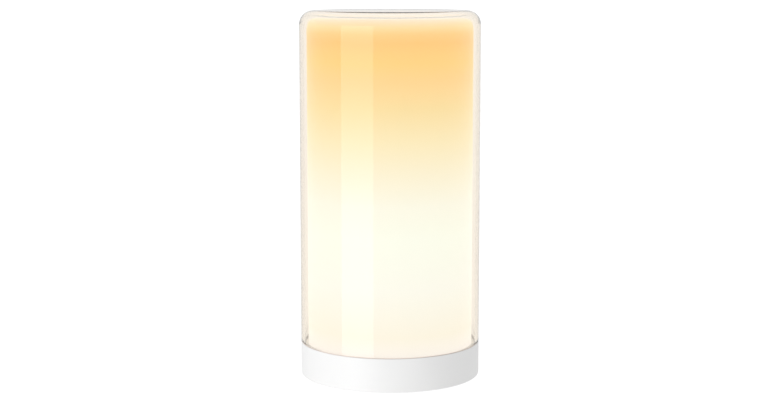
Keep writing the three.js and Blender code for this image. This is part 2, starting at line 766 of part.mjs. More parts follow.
function addButtons() {
  const capSection = [
    [0, 43.7],
    [1.5, 43.7],
    [1.5, 44.8],
    [4, 44.8],
    [4, 45.6],
    [BUTTON_RADIUS, 45.6],
    [BUTTON_RADIUS, 48.5],
    [BUTTON_RADIUS - 0.3, 48.75],
    [2, 48.7],
    [0, 48.45],
  ];
  const cap = turned(capSection, 12).rotateY(Math.PI / 2).translate(0, 0, BUTTON_HEIGHT);
  const plunger = radialPin(1.2, 41, 43.4, BUTTON_HEIGHT);
  const switchBody = carved(box([38, -3, COMPONENT_BOTTOM], [42.2, 3, 12.3]), {
    remove: [radialPin(1.5, 40.2, 43, BUTTON_HEIGHT)],
  });
  for (const [name, degrees] of Object.entries(BUTTON_ANGLES)) {
    const turn = new THREE.Group();
    turn.rotation.z = THREE.MathUtils.degToRad(degrees);
    speaker.add(turn);
    addPart(`${name}_button`, cap, materials.whiteShell, turn);
    addPart(`${name}_plunger`, plunger, materials.blackPart, turn);
    addPart(`${name}_switch`, switchBody, materials.blackPart, turn);
  }
}

function addHarness() {
  const route = [
    [34, 13.2], [33.6, 14.6], [32, 15.4], [28, 15.5], [25, 16.2], [HARNESS_X, 18.2],
    [HARNESS_X, 21.5], [HARNESS_X, 24.4], [23.2, 26], [21.8, 26.4], [20.5, 26.4],
  ];
  const curve = new THREE.CatmullRomCurve3(route.map(([x, z]) => new THREE.Vector3(x, 0, z)));
  const section = new THREE.Shape();
  section.absarc(0, 0, HARNESS_RADIUS, 0, 2 * Math.PI, false);
  const options = { steps: 20, extrudePath: curve, curveSegments: 4, bevelEnabled: false };
  addPart("led_harness", new THREE.ExtrudeGeometry(section, options), materials.blackPart);
  addOnBoard("board_connector", connectorGeometry(5, 8, 4), materials.whiteBoard, 0, 34);
  const lampConnector = addPart("lamp_connector", connectorGeometry(5, 7, 5.6), materials.whiteBoard);
  lampConnector.position.set(17.6, 0, PLATE_TOP + 0.1);
}

function addElectronics() {
  addPart("main_board", mainBoard(), materials.board);
  addOnBoard("radio_module", packageGeometry(12, 18, 2.6), materials.aluminium, 285);
  addOnBoard("processor_shield", packageGeometry(12, 12, 2), materials.aluminium, 245);
  addOnBoard("power_inductor", packageGeometry(7, 7, 4), materials.ferrite, 66);
  addOnBoard("bulk_capacitor", capacitorGeometry(), materials.aluminium, 46);
  addInlet();
  addMicrophones();
  addButtons();
  addHarness();
}

addLamp();
addBase();
addLoudspeaker();
addElectronics();

export default speaker;
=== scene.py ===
import json
import math

import bmesh
import bpy
from mathutils import Matrix, Vector
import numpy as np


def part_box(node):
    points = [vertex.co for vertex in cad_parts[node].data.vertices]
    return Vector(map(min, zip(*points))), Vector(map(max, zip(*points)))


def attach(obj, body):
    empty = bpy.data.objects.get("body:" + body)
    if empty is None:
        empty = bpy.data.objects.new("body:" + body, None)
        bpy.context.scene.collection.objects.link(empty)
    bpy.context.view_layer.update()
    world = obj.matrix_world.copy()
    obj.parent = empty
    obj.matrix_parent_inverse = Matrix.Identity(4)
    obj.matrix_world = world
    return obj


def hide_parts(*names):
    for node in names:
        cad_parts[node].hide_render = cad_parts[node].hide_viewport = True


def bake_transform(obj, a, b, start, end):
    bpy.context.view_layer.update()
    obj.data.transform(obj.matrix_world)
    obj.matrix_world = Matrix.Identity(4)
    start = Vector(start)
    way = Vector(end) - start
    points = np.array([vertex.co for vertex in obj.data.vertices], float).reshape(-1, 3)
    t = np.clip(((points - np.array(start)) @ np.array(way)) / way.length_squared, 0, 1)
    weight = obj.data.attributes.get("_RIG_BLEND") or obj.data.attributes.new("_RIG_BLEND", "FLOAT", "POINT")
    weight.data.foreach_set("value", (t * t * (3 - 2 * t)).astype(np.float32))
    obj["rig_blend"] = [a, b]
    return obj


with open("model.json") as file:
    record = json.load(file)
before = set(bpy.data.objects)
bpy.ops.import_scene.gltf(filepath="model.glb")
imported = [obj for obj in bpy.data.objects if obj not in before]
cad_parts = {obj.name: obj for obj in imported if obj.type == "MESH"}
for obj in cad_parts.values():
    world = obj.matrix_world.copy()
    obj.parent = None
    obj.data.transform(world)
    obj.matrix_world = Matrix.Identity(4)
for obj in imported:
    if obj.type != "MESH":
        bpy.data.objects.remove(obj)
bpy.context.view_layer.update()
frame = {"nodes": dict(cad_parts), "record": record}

MM = 0.001
BODY = "lamp_body"
KEYS = ("power", "volume_down", "volume_up")

# Sizes that a node's box doesn't give.
SHELL_WALL = 2.0 * MM
SHELL_CORNER = 7.4 * MM
SHELL_CROWN = 0.4 * MM
SHELL_INNER_CROWN = 0.8 * MM
SPIGOT_RADIUS = 47.9 * MM
SEAL_WIDTH = 0.6 * MM
DIFFUSER_WALL = 1.8 * MM
DIFFUSER_SHOULDER = 7.0 * MM
DIFFUSER_BEAD_RADIUS = 41.5 * MM
DIFFUSER_BEAD_HEIGHT = 1.4 * MM
HOUSING_WALL = 2.8 * MM
BOTTOM_EDGE = 1.0 * MM
GROOVE_OUTER = 48.1 * MM
GROOVE_FLOOR = 16.5 * MM
DECK_RADIUS = 46.6 * MM
DECK_THICKNESS = 2.0 * MM
WEB_RADIUS = 44.6 * MM
SLOPE_BOTTOM = 14.6 * MM
BUTTON_HOLE_RADIUS = 3.2 * MM
PORT_RADIUS = 0.7 * MM
POCKET = (13.0 * MM, 7.4 * MM, 1.5 * MM)  # width, height and corner radius
POCKET_FLOOR = 43.5 * MM
INLET_PAD_FRONT = 41.5 * MM
INLET_PAD_HALF_WIDTH = 8.5 * MM
INLET_PAD_HEIGHTS = (5.2 * MM, 15.8 * MM)
WIRE_HOLE_RADIUS = 1.8 * MM
WIRE_HOLE_X = 24 * MM
PILOT_RADIUS = 1.25 * MM
SCREW_CLEARANCE = 1.5 * MM
FINE_EDGE = 0.25 * MM
PAST = 1 * MM  # how far a cutter reaches past the surface that it cuts

# How finely round shapes are divided, and the angle in degrees from which an edge is sharp.
TURN_STEPS = 192
MEDIUM_STEPS = 96
KEY_STEPS = 64
HOLE_STEPS = 48
SMALL_STEPS = 40
SHARP_ANGLE = 35

# The camera's distance, height, tilt in degrees and focal length.
CAMERA_DISTANCE = 0.8828
CAMERA_HEIGHT = 0.2198
CAMERA_TILT = 7.89
CAMERA_LENS = 75.16

ROOM_LIGHT = 0.71  # from the front half of the room
BACK_LIGHT = 0.85  # from behind the lamp
FLOOR_LIGHT = 0.93  # from below
MIRRORED_LIGHT = 0.8  # what reflections show
THROUGH_LIGHT = 1.0  # what shows through the clear shell
SOFTBOX_PLACE = (-0.332, -0.388, -0.04)
SOFTBOX_SIZE = (0.385, 0.56)
SOFTBOX_RADIANCE = 1.55


# ------------------------------------------------------------------ mesh helpers
def new_object(name, mesh):
    obj = bpy.data.objects.new(name, mesh)
    bpy.context.scene.collection.objects.link(obj)
    return obj


def arc(centre_r, centre_z, radius, start, end, steps):
    """Points along an arc of a section, in degrees, both ends included."""
    found = []
    for i in range(steps + 1):
        angle = math.radians(start + (end - start) * i / steps)
        found.append((centre_r + radius * math.cos(angle), centre_z + radius * math.sin(angle)))
    return found


def rounded(section, radii):
    """A section with its listed corners rounded: radii maps a point's index to its radius."""
    steps = 4
    count = len(section)
    result = []
    for i, corner in enumerate(section):
        radius = radii.get(i)
        if not radius:
            result.append(corner)
            continue
        here = Vector(corner)
        before = (Vector(section[i - 1]) - here).normalized()
        after = (Vector(section[(i + 1) % count]) - here).normalized()
        half = before.angle(after) / 2
        reach = radius / math.tan(half)
        centre = here + (before + after).normalized() * (radius / math.sin(half))
        first = here + before * reach - centre
        turn = first.angle_signed(here + after * reach - centre)
        for k in range(steps + 1):
            point = centre + Matrix.Rotation(-turn * k / steps, 2) @ first
            result.append((point.x, point.y))
    return result


def turned(name, section, steps=TURN_STEPS):
    """A closed section of (radius, z) pairs turned about Z. Points on the axis become poles."""
    mesh = bmesh.new()
    rings = []
    for radius, z in section:
        if radius < 1e-9:
            rings.append([mesh.verts.new((0, 0, z))])
            continue
        ring = []
        for k in range(steps):
            angle = 2 * math.pi * k / steps
            ring.append(mesh.verts.new((radius * math.cos(angle), radius * math.sin(angle), z)))
        rings.append(ring)
    closed = len(rings[0]) > 1
    pairs = list(zip(rings, rings[1:] + (rings[:1] if closed else [])))
    for low, high in pairs:
        if len(low) == 1 and len(high) == 1:
            continue
        for k in range(steps):
            n = (k + 1) % steps
            if len(low) == 1:
                mesh.faces.new((low[0], high[n], high[k]))
            elif len(high) == 1:
                mesh.faces.new((low[k], low[n], high[0]))
            else:
                mesh.faces.new((low[k], low[n], high[n], high[k]))
    return finished(name, mesh)


def finished(name, mesh, sharp=SHARP_ANGLE):
    """Turns a bmesh into a smooth object with sharp edges where its faces meet at more than an angle."""
    bmesh.ops.recalc_face_normals(mesh, faces=mesh.faces)
    data = bpy.data.meshes.new(name)
    mesh.to_mesh(data)
    mesh.free()
    data.shade_smooth()
    data.set_sharp_from_angle(angle=math.radians(sharp))
    return new_object(name, data)


def lofted(name, loops, closed=False):
    """Joins loops of points that have equal counts. Unless closed, both end loops are capped."""
    mesh = bmesh.new()
    rings = [[mesh.verts.new(point) for point in loop] for loop in loops]
    count = len(rings[0])
    for low, high in zip(rings, rings[1:] + (rings[:1] if closed else [])):
        for k in range(count):
            n = (k + 1) % count
            mesh.faces.new((low[k], low[n], high[n], high[k]))
    if not closed:
        mesh.faces.new(rings[0][::-1])
        mesh.faces.new(rings[-1])
    return finished(name, mesh)


def rounded_rectangle(width, height, radius, steps=6):
    """The outline of a rounded rectangle about the origin, as (x, y) pairs."""
    x, y = width / 2 - radius, height / 2 - radius
    outline = []
    for centre_x, centre_y, start in ((x, y, 0), (-x, y, 90), (-x, -y, 180), (x, -y, 270)):
        outline += arc(centre_x, centre_y, radius, start, start + 90, steps)
    return outline


def stacked(name, stations, closed=False):
    """A solid through level outlines, each given with its height."""
    return lofted(name, [[(x, y, z) for x, y in outline] for outline, z in stations], closed)


def facing_rear(name, stations, height):
    """A solid through outlines that face the rear, each given with its y, about a height."""
    return lofted(name, [[(x, y, height + z) for x, z in outline] for outline, y in stations])


def block(low, high):
    """A box as a cutting tool."""
    (x0, y0, z0), (x1, y1, z1) = low, high
    outline = [(x0, y0), (x1, y0), (x1, y1), (x0, y1)]
    return stacked("tool", ((outline, z0), (outline, z1)))


def cylinder(radius, low, high, steps=SMALL_STEPS):
    """A round bar along Z as a tool."""
    return turned("tool", [(0, low), (radius, low), (radius, high), (0, high)], steps)


def moved(obj, x=0.0, y=0.0, degrees=0.0):
    """Moves an object's mesh, then turns it about Z."""
    obj.data.transform(Matrix.Rotation(math.radians(degrees), 4, "Z") @ Matrix.Translation((x, y, 0)))
    return obj


def outward(obj, height, degrees):
    """Lays an object made along Z so that it points away from the axis, at a height and bearing."""
    obj.data.transform(Matrix.Translation((0, 0, height)) @ Matrix.Rotation(math.pi / 2, 4, "Y"))
    return moved(obj, degrees=degrees)


def carved(obj, add=(), remove=()):
    """Joins and cuts an object with tools, which are used up."""
    for tools, operation in ((add, "UNION"), (remove, "DIFFERENCE")):
        if not tools:
            continue
        group = bpy.data.collections.new("tools")
        for tool in tools:
            group.objects.link(tool)
        modifier = obj.modifiers.new("carve", "BOOLEAN")
        modifier.operation = operation
        modifier.solver = "EXACT"
        modifier.operand_type = "COLLECTION"
        modifier.collection = group
        bpy.context.view_layer.update()
        graph = bpy.context.evaluated_depsgraph_get()
        mesh = bpy.data.meshes.new_from_object(obj.evaluated_get(graph))
        obj.modifiers.clear()
        obj.data = mesh
        for tool in tools:
            bpy.data.objects.remove(tool)
        bpy.data.collections.remove(group)
    obj.data.shade_smooth()
    obj.data.set_sharp_from_angle(angle=math.radians(SHARP_ANGLE))
    return obj


def joined(name, objects):
    """One object made of several solids that don't touch."""
    mesh = bmesh.new()
    for obj in objects:
        mesh.from_mesh(obj.data)
        bpy.data.objects.remove(obj)
    return finished(name, mesh)


def centre(node):
    """The middle of a node's box."""
    low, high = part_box(node)
    return (low + high) / 2


def bearing(node):
    """A node's direction from the axis, in degrees from +X."""
    place = centre(node)
    return math.degrees(math.atan2(place.y, place.x))


def over(obj, node):
    """Moves an object that was made on the axis to a node's place."""
    place = centre(node)
    return moved(obj, place.x, place.y)


def stands_for(obj, slot, *nodes, body=BODY, look=None):
    """Gives a piece a look (the one named after its slot if none is given), puts it under its body and hides
    the nodes that it replaces.

    Its normals follow its larger faces, so that a long wall shades as straight up to its rounded edge.
    """
    obj.data.materials.clear()
    obj.data.materials.append(LOOKS[look or slot])
    shading = obj.modifiers.new("large_faces_lead", "WEIGHTED_NORMAL")
    shading.keep_sharp = True
    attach(obj, body)
    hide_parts(*nodes)


# ------------------------------------------------------------------ material helpers
LOOKS = {}  # every material, by name


class Nodes:
    """A new material, kept in LOOKS, with short ways to make and link its shader nodes."""

    def __init__(self, name):
        self.material = bpy.data.materials.new(name)
        LOOKS[name] = self.material
        self.material.use_nodes = True
        self.tree = self.material.node_tree
        self.tree.nodes.clear()
        self.output = self.tree.nodes.new("ShaderNodeOutputMaterial")
        self.shader = self.tree.nodes.new("ShaderNodeBsdfPrincipled")
        self.link(self.shader, "BSDF", self.output, "Surface")
        self.where = self.tree.nodes.new("ShaderNodeTexCoord")

    def link(self, source, out, target, into):
        self.tree.links.new(source.outputs[out], target.inputs[into])

    def set(self, **values):
        for key, value in values.items():
            self.shader.inputs[key.replace("_", " ")].default_value = value

    def noise(self, scale, detail=3.0, rough=0.5):
        node = self.tree.nodes.new("ShaderNodeTexNoise")
        node.inputs["Scale"].default_value = scale
        node.inputs["Detail"].default_value = detail
        node.inputs["Roughness"].default_value = rough
        self.link(self.where, "Object", node, "Vector")
        return node

    def ramp(self, source, out, stops):
        node = self.tree.nodes.new("ShaderNodeValToRGB")
        elements = node.color_ramp.elements
        while len(elements) > 1:
            elements.remove(elements[-1])
        elements[0].position = stops[0][0]
        elements[0].color = colour(stops[0][1])
        for position, value in stops[1:]:
            elements.new(position).color = colour(value)
        self.tree.links.new(source.outputs[out], node.inputs["Fac"])
        return node

    def spread(self, source, out, low, high):
        """A number from low to high as the source goes from 0.3 to 0.7."""
        node = self.tree.nodes.new("ShaderNodeMapRange")
        node.inputs["From Min"].default_value = 0.3
        node.inputs["From Max"].default_value = 0.7
        node.inputs["To Min"].default_value = low
        node.inputs["To Max"].default_value = high
        self.tree.links.new(source.outputs[out], node.inputs["Value"])
        return node

    def bump(self, source, out, strength, distance):
        node = self.tree.nodes.new("ShaderNodeBump")
        node.inputs["Strength"].default_value = strength
        node.inputs["Distance"].default_value = distance
        self.tree.links.new(source.outputs[out], node.inputs["Height"])
        self.link(node, "Normal", self.shader, "Normal")

    def clear_where(self, source, out, tint):
        """Mixes in a transparent surface as far as a factor goes from 0 to 1."""
        clear = self.tree.nodes.new("ShaderNodeBsdfTransparent")
        clear.inputs["Color"].default_value = colour(tint)
        mix = self.tree.nodes.new("ShaderNodeMixShader")
        self.link(source, out, mix, "Fac")
        self.tree.links.new(self.shader.outputs["BSDF"], mix.inputs[1])
        self.tree.links.new(clear.outputs["BSDF"], mix.inputs[2])
        self.link(mix, "Shader", self.output, "Surface")


def colour(value):
    return (*value, 1.0)


def varied(name, base, roughness, grain, tint, bump=0.15, depth=0.00004, **values):
    """A moulded or machined surface: slight colour and roughness variation and a fine bump."""
    m = Nodes(name)
    m.set(**values)
    broad = m.noise(60.0, 4.0)
    fine = m.noise(grain, 2.0)
    darker = [c * (1 - tint) for c in base]
    lighter = [min(1.0, c * (1 + tint)) for c in base]
    ramp = m.ramp(broad, "Fac", [(0.3, darker), (0.7, lighter)])
    m.link(ramp, "Color", m.shader, "Base Color")
    rough = m.spread(fine, "Fac", roughness * 0.85, roughness * 1.15)
    m.link(rough, "Result", m.shader, "Roughness")
    m.bump(fine, "Fac", bump, depth)


# ------------------------------------------------------------------ materials
GLOW = [  # height along the diffuser from bottom to top, and the light there
    (0.000, (1.00, 0.96, 0.92)),
    (0.060, (0.97, 0.94, 0.82)),
    (0.200, (0.97, 0.99, 0.92)),
    (0.350, (0.97, 1.02, 0.92)),
    (0.450, (0.97, 0.98, 0.86)),
    (0.550, (0.97, 0.91, 0.69)),
    (0.640, (0.97, 0.85, 0.53)),
    (0.740, (0.96, 0.755, 0.36)),
    (0.820, (1.00, 0.68, 0.27)),
    (0.870, (0.99, 0.665, 0.21)),
    (0.900, (1.00, 0.64, 0.20)),
    (0.930, (1.00, 0.60, 0.185)),
    (0.955, (1.00, 0.645, 0.23)),
    (0.975, (1.00, 0.76, 0.37)),
    (1.000, (0.98, 0.85, 0.69)),
]
GLOW_TINT_SHARE = 0.09  # the diffuser's surface colour, as a share of its glow: the glow's tint painted into it


def clear_material():
    """Polished clear shell. Shadow rays go straight through it, so that the diffuser behind it is lit."""
    m = Nodes("clear_shell")
    m.set(IOR=1.49, Transmission_Weight=1.0, Base_Color=(1, 1, 1, 1))
    rough = m.spread(m.noise(35.0, 5.0), "Fac", 0.0, 0.004)
    m.link(rough, "Result", m.shader, "Roughness")
    path = m.tree.nodes.new("ShaderNodeLightPath")
    m.clear_where(path, "Is Shadow Ray", (0.93, 0.94, 0.94))
    tint = m.tree.nodes.new("ShaderNodeVolumeAbsorption")
    tint.inputs["Color"].default_value = (0.99, 0.85, 0.62, 1)
    tint.inputs["Density"].default_value = 120.0
    m.link(tint, "Volume", m.output, "Volume")


def glow_material(low, high):
    """Opal diffuser, lit from inside: white at the bottom, amber towards the top. Its surface colour is
    painted with the same tint.
    """
    m = Nodes("opal_diffuser")
    m.set(Emission_Strength=0.915)
    split = m.tree.nodes.new("ShaderNodeSeparateXYZ")
    m.link(m.where, "Object", split, "Vector")
    height = m.tree.nodes.new("ShaderNodeMapRange")
    height.inputs["From Min"].default_value = low
    height.inputs["From Max"].default_value = high
    m.link(split, "Z", height, "Value")
    ramp = m.ramp(height, "Result", GLOW)
    m.link(ramp, "Color", m.shader, "Emission Color")
    # The surface colour follows the glow up the diffuser, so the glow's white-to-amber tint is painted into
    # the diffuser's own colour.
    body = m.ramp(height, "Result", [(z, [GLOW_TINT_SHARE * c for c in tone]) for z, tone in GLOW])
    m.link(body, "Color", m.shader, "Base Color")
    fine = m.noise(1400.0, 2.0)
    rough = m.spread(fine, "Fac", 0.42, 0.55)
    m.link(rough, "Result", m.shader, "Roughness")
    m.bump(fine, "Fac", 0.1, 0.00002)


varied("white_housing", (0.84, 0.84, 0.837), 0.42, grain=1600.0, tint=0.01, bump=0.12, depth=0.00002)
varied("white_inner", (0.8, 0.8, 0.79), 0.55, grain=1200.0, tint=0.015)
varied("seal_rubber", (0.70, 0.61, 0.56), 0.8, grain=1800.0, tint=0.08, bump=0.3)
varied("grey_rubber", (0.32, 0.32, 0.33), 0.8, grain=1800.0, tint=0.12, bump=0.4)
varied("speaker_cloth", (0.02, 0.02, 0.022), 0.9, grain=2600.0, tint=0.2, bump=0.6)
varied("black_foam", (0.02, 0.02, 0.02), 0.9, grain=2200.0, tint=0.2, bump=0.5)
varied("paper_cone", (0.03, 0.03, 0.032), 0.8, grain=700.0, tint=0.3, bump=0.5)
varied("amber_damper", (0.42, 0.2, 0.06), 0.7, grain=2400.0, tint=0.15, bump=0.5)
varied("copper_winding", (0.72, 0.33, 0.15), 0.3, grain=900.0, tint=0.1, Metallic=1.0)
varied("aluminium", (0.72, 0.73, 0.74), 0.35, grain=1500.0, tint=0.05, Metallic=1.0)
varied("steel", (0.5, 0.51, 0.52), 0.3, grain=1300.0, tint=0.08, Metallic=1.0)
varied("ferrite", (0.06, 0.06, 0.065), 0.6, grain=1000.0, tint=0.2, bump=0.4)
varied("green_board", (0.01, 0.12, 0.045), 0.4, grain=800.0, tint=0.2)
varied("white_board", (0.85, 0.85, 0.82), 0.4, grain=1000.0, tint=0.03)
varied("black_plastic", (0.02, 0.02, 0.022), 0.45, grain=1400.0, tint=0.2)
varied("gold_contacts", (0.83, 0.62, 0.28), 0.25, grain=900.0, tint=0.05, Metallic=1.0)
varied("led_lens", (0.9, 0.72, 0.2), 0.25, grain=700.0, tint=0.1)


def finish_cad_nodes():
    """Gives each carried-over node the material of its slot."""
    for part in frame["record"]["subparts"]:
        node = frame["nodes"][part["node"]]
        if part["material_slot"] in LOOKS:
            node.data.materials.clear()
            node.data.materials.append(LOOKS[part["material_slot"]])


# ------------------------------------------------------------------ clear shell, seal and diffuser
def crown(radius, z, rise):
    """A shallow crown's outline, from the middle out towards its edge."""
    steps = 12
    shares = [i / steps for i in range(steps)]
    return [(radius * share, z + rise * (1 - share * share)) for share in shares]


def make_shell():
    """The shell's wall with a crowned, thinning top, a rounded shoulder and a spigot at its foot."""
    low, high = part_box("outer_shell")
    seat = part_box("shell_gasket")[1].z
    outer, top = high.x, high.z
    inner = outer - SHELL_WALL
    corner_r = outer - SHELL_CORNER
    inner_corner = SHELL_CORNER - SHELL_WALL
    outer_edge = top - SHELL_CROWN
    inner_edge = top - SHELL_WALL
    section = [
        *crown(corner_r, inner_edge, SHELL_INNER_CROWN),
        *arc(corner_r, inner_edge - inner_corner, inner_corner, 90, 0, 16),
        (inner, low.z),
        (SPIGOT_RADIUS, low.z),
        (SPIGOT_RADIUS, seat),
        (outer - FINE_EDGE, seat),
        *arc(outer - FINE_EDGE, seat + FINE_EDGE, FINE_EDGE, -90, 0, 4)[1:],
        *arc(corner_r, outer_edge - SHELL_CORNER, SHELL_CORNER, 0, 90, 20),
        *reversed(crown(corner_r, outer_edge, SHELL_CROWN)),
    ]
    clear_material()
    stands_for(turned("clear_shell", section), "clear_shell", "outer_shell")


def make_diffuser():
    """The opal cylinder, closed at its top, with an inward bead at its foot."""
    low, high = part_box("diffuser")
    outer, top, bottom = high.x, high.z, low.z
    inner = outer - DIFFUSER_WALL
    corner_r, corner_z = outer - DIFFUSER_SHOULDER, top - DIFFUSER_SHOULDER
    section = [
        (0, top - DIFFUSER_WALL),
        *arc(corner_r, corner_z, DIFFUSER_SHOULDER - DIFFUSER_WALL, 90, 0, 12),
        (inner, bottom + DIFFUSER_BEAD_HEIGHT),
        (DIFFUSER_BEAD_RADIUS, bottom + DIFFUSER_BEAD_HEIGHT),
        (DIFFUSER_BEAD_RADIUS, bottom),
        (outer, bottom),
        *arc(corner_r, corner_z, DIFFUSER_SHOULDER, 0, 90, 16),
        (0, top),
    ]
    glow_material(bottom, top)
    stands_for(turned("opal_diffuser", section), "opal_diffuser", "diffuser")


def make_gasket():
    """The thin seal that shows as a line between the shell and the base."""
    low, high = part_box("shell_gasket")
    inner = high.x - SEAL_WIDTH
    section = [(inner, low.z), (high.x, low.z), (high.x, high.z), (inner, high.z)]
    stands_for(turned("shell_seal", section), "grey_rubber", "shell_gasket", look="seal_rubber")


# ------------------------------------------------------------------ base housing and bottom cover
def housing_section(outer, bottom, top):
    """The base's wall, its deck, and the groove round the deck that takes the shell's spigot."""
    wall = outer - HOUSING_WALL
    deck_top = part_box("diffuser")[0].z
    deck_bottom = deck_top - DECK_THICKNESS
    return [
        (0, deck_bottom),
        (WEB_RADIUS, deck_bottom),
        (WEB_RADIUS, SLOPE_BOTTOM + wall - WEB_RADIUS),
        (wall, SLOPE_BOTTOM),
        (wall, bottom),
        *arc(outer - BOTTOM_EDGE, bottom + BOTTOM_EDGE, BOTTOM_EDGE, -90, 0, 6),
        *arc(outer - FINE_EDGE, top - FINE_EDGE, FINE_EDGE, 0, 90, 4),
        (GROOVE_OUTER, top),
        (GROOVE_OUTER, GROOVE_FLOOR),
        (DECK_RADIUS, GROOVE_FLOOR),
        (DECK_RADIUS, deck_top),
        (0, deck_top),
    ]


def flared_hole(radius, start, end, flare):
    """A round cutter along Z that opens out a little where it leaves the surface, at end."""
    section = [
        (0, start),
        (radius, start),
        (radius, end - flare),
        (radius + flare + PAST, end + PAST),
        (0, end + PAST),
    ]
    return turned("tool", section, HOLE_STEPS)


def screw_boss(bottom, board_top, top):
    """A post over a cover screw: slim where it passes the board, wide above it."""
    slim, wide = 2.8 * MM, 4 * MM
    section = [(0, bottom), (slim, bottom), (slim, board_top), (wide, board_top), (wide, top), (0, top)]
    return turned("tool", section, SMALL_STEPS)


def inlet_cutters(outer):
    """The inlet's pocket, flared where it meets the outer wall, and the slot for its metal shell."""
    height = centre("inlet_receptacle").z
    wide, tall, corner = POCKET
    flare, flare_start = 1 * MM, outer - 0.9 * MM
    mouth = rounded_rectangle(wide, tall, corner)
    flared = rounded_rectangle(wide + 2 * flare, tall + 2 * flare, corner + flare)
    stations = (
        (mouth, POCKET_FLOOR), (mouth, flare_start), (flared, outer + 0.1 * MM), (flared, outer + PAST),
    )
    pocket = facing_rear("tool", stations, height)
    low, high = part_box("inlet_receptacle")
    play = 0.6 * MM
    slot_width, slot_height = high.x - low.x + play, high.z - low.z + play
    slot = rounded_rectangle(slot_width, slot_height, slot_height / 2 - 0.05 * MM)
    ends = ((slot, INLET_PAD_FRONT - PAST), (slot, POCKET_FLOOR + PAST))
    return [pocket, facing_rear("tool", ends, height)]


def make_housing():
    """The white base in one piece with its deck, its bosses and everything that is cut into it."""
    low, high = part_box("base_housing")
    outer, bottom = high.x, low.z
    wall = outer - HOUSING_WALL
    board_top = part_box("main_board")[1].z + 0.1 * MM
    cover_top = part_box("grille_cloth")[0].z
    deck_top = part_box("diffuser")[0].z
    boss_top, boss_hole_top = deck_top - 1 * MM, 13 * MM
    port_height = 12.5 * MM
    below_deck, above_deck = deck_top - DECK_THICKNESS - PAST, deck_top + PAST
    pad_low, pad_high = INLET_PAD_HEIGHTS
    corner = (INLET_PAD_HALF_WIDTH, wall + PAST, pad_high)
    add = [block((-INLET_PAD_HALF_WIDTH, INLET_PAD_FRONT, pad_low), corner)]
    remove = []
    for k in range(1, 5):
        node = f"cover_screw_{k}"
        add.append(over(screw_boss(cover_top + 0.2 * MM, board_top, boss_top), node))
        remove.append(over(cylinder(SCREW_CLEARANCE, cover_top - PAST, boss_hole_top), node))
    remove += inlet_cutters(outer)
    for name in KEYS:
        hole = flared_hole(BUTTON_HOLE_RADIUS, wall - PAST, outer, 0.3 * MM)
        remove.append(outward(hole, centre(f"{name}_plunger").z, bearing(f"{name}_plunger")))
    for side in ("left", "right"):
        hole = flared_hole(PORT_RADIUS, wall - PAST, outer, 0.15 * MM)
        remove.append(outward(hole, port_height, bearing(f"microphone_{side}")))
    for k in range(1, 4):
        remove.append(over(cylinder(PILOT_RADIUS, below_deck, above_deck), f"plate_screw_{k}"))
    remove.append(moved(cylinder(WIRE_HOLE_RADIUS, below_deck, above_deck), WIRE_HOLE_X))
    shell = turned("base_shell", housing_section(outer, bottom, high.z))
    stands_for(carved(shell, add, remove), "white_housing", "base_housing")


def slot_tool(inner, outer, width, low, high):
    """A round-ended slot along X as a cutting tool."""
    ends = width / 2 - 0.01 * MM
    outline = rounded_rectangle(outer - inner, width, ends, 8)
    outline = [(x + (inner + outer) / 2, y) for x, y in outline]
    return stacked("tool", ((outline, low), (outline, high)))


def screw_standoff(bottom, top):
    """A ring on the cover, round a screw boss, that holds the board up against the boss."""
    inner, outer = 3.2 * MM, 4.6 * MM
    return turned("tool", [(inner, bottom), (outer, bottom), (outer, top), (inner, top)], SMALL_STEPS)


def counterbored_hole(bottom, seat, top):
    """A cutter for a cover screw's head, up to its seat, and for its shank above."""
    head = 2.7 * MM
    shank = SCREW_CLEARANCE
    section = [(0, bottom), (head, bottom), (head, seat), (shank, seat), (shank, top), (0, top)]
    return turned("tool", section, SMALL_STEPS)


def make_bottom_cover():
    """The cover with its two rings of sound slots, screw holes, standoffs and recesses for the feet."""
    low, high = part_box("bottom_cover")
    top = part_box("grille_cloth")[0].z
    bottom, radius = low.z, high.x
    edge = 0.4 * MM
    slot_width, counterbore, pilot_depth = 2.4 * MM, 1.2 * MM, 1.2 * MM
    foot_play = 0.2 * MM
    section = [
        (0, bottom),
        *arc(radius - edge, bottom + edge, edge, -90, 0, 5),
        (radius, top),
        (0, top),
    ]
    add = []
    remove = []
    for count, inner, outer in ((8, 5 * MM, 11 * MM), (14, 13.5 * MM, 20 * MM)):
        for k in range(count):
            slot = slot_tool(inner, outer, slot_width, bottom - PAST, top + PAST)
            remove.append(moved(slot, degrees=360 / count * (k + 0.5)))
    for k in range(1, 5):
        add.append(over(screw_standoff(top - 0.5 * MM, high.z), f"cover_screw_{k}"))
        hole = counterbored_hole(bottom - PAST, bottom + counterbore, top + PAST)
        remove.append(over(hole, f"cover_screw_{k}"))
        foot_low, foot_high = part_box(f"foot_{k}")
        foot_radius = (foot_high.x - foot_low.x) / 2
        recess = cylinder(foot_radius + foot_play, bottom - PAST, foot_high.z, KEY_STEPS)
        remove.append(over(recess, f"foot_{k}"))
        pilot = cylinder(PILOT_RADIUS, top - pilot_depth, top + PAST)
        remove.append(over(pilot, f"driver_screw_{k}"))
    cover = turned("base_cover", section)
    stands_for(carved(cover, add, remove), "white_inner", "bottom_cover")


def make_feet():
    """Rubber feet with a rounded edge and two rings of tread."""
    low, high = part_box("foot_1")
    radius, height = (high.x - low.x) / 2, high.z - low.z
    edge, tread = 0.45 * MM, 0.25 * MM
    section = [(0, 0)]
    for ring in (2.2 * MM, 3.4 * MM):
        section += [(ring - tread, 0), (ring, tread), (ring + tread, 0)]
    section += [*arc(radius - edge, edge, edge, -90, 0, 5), (radius, height), (0, height)]
    pattern = turned("foot", section, KEY_STEPS)
    for k in range(1, 5):
        place = centre(f"foot_{k}")
        foot = new_object(f"rubber_foot_{k}", pattern.data.copy())
        foot.data.transform(Matrix.Translation((place.x, place.y, low.z)))
        stands_for(foot, "grey_rubber", f"foot_{k}")
    bpy.data.objects.remove(pattern)


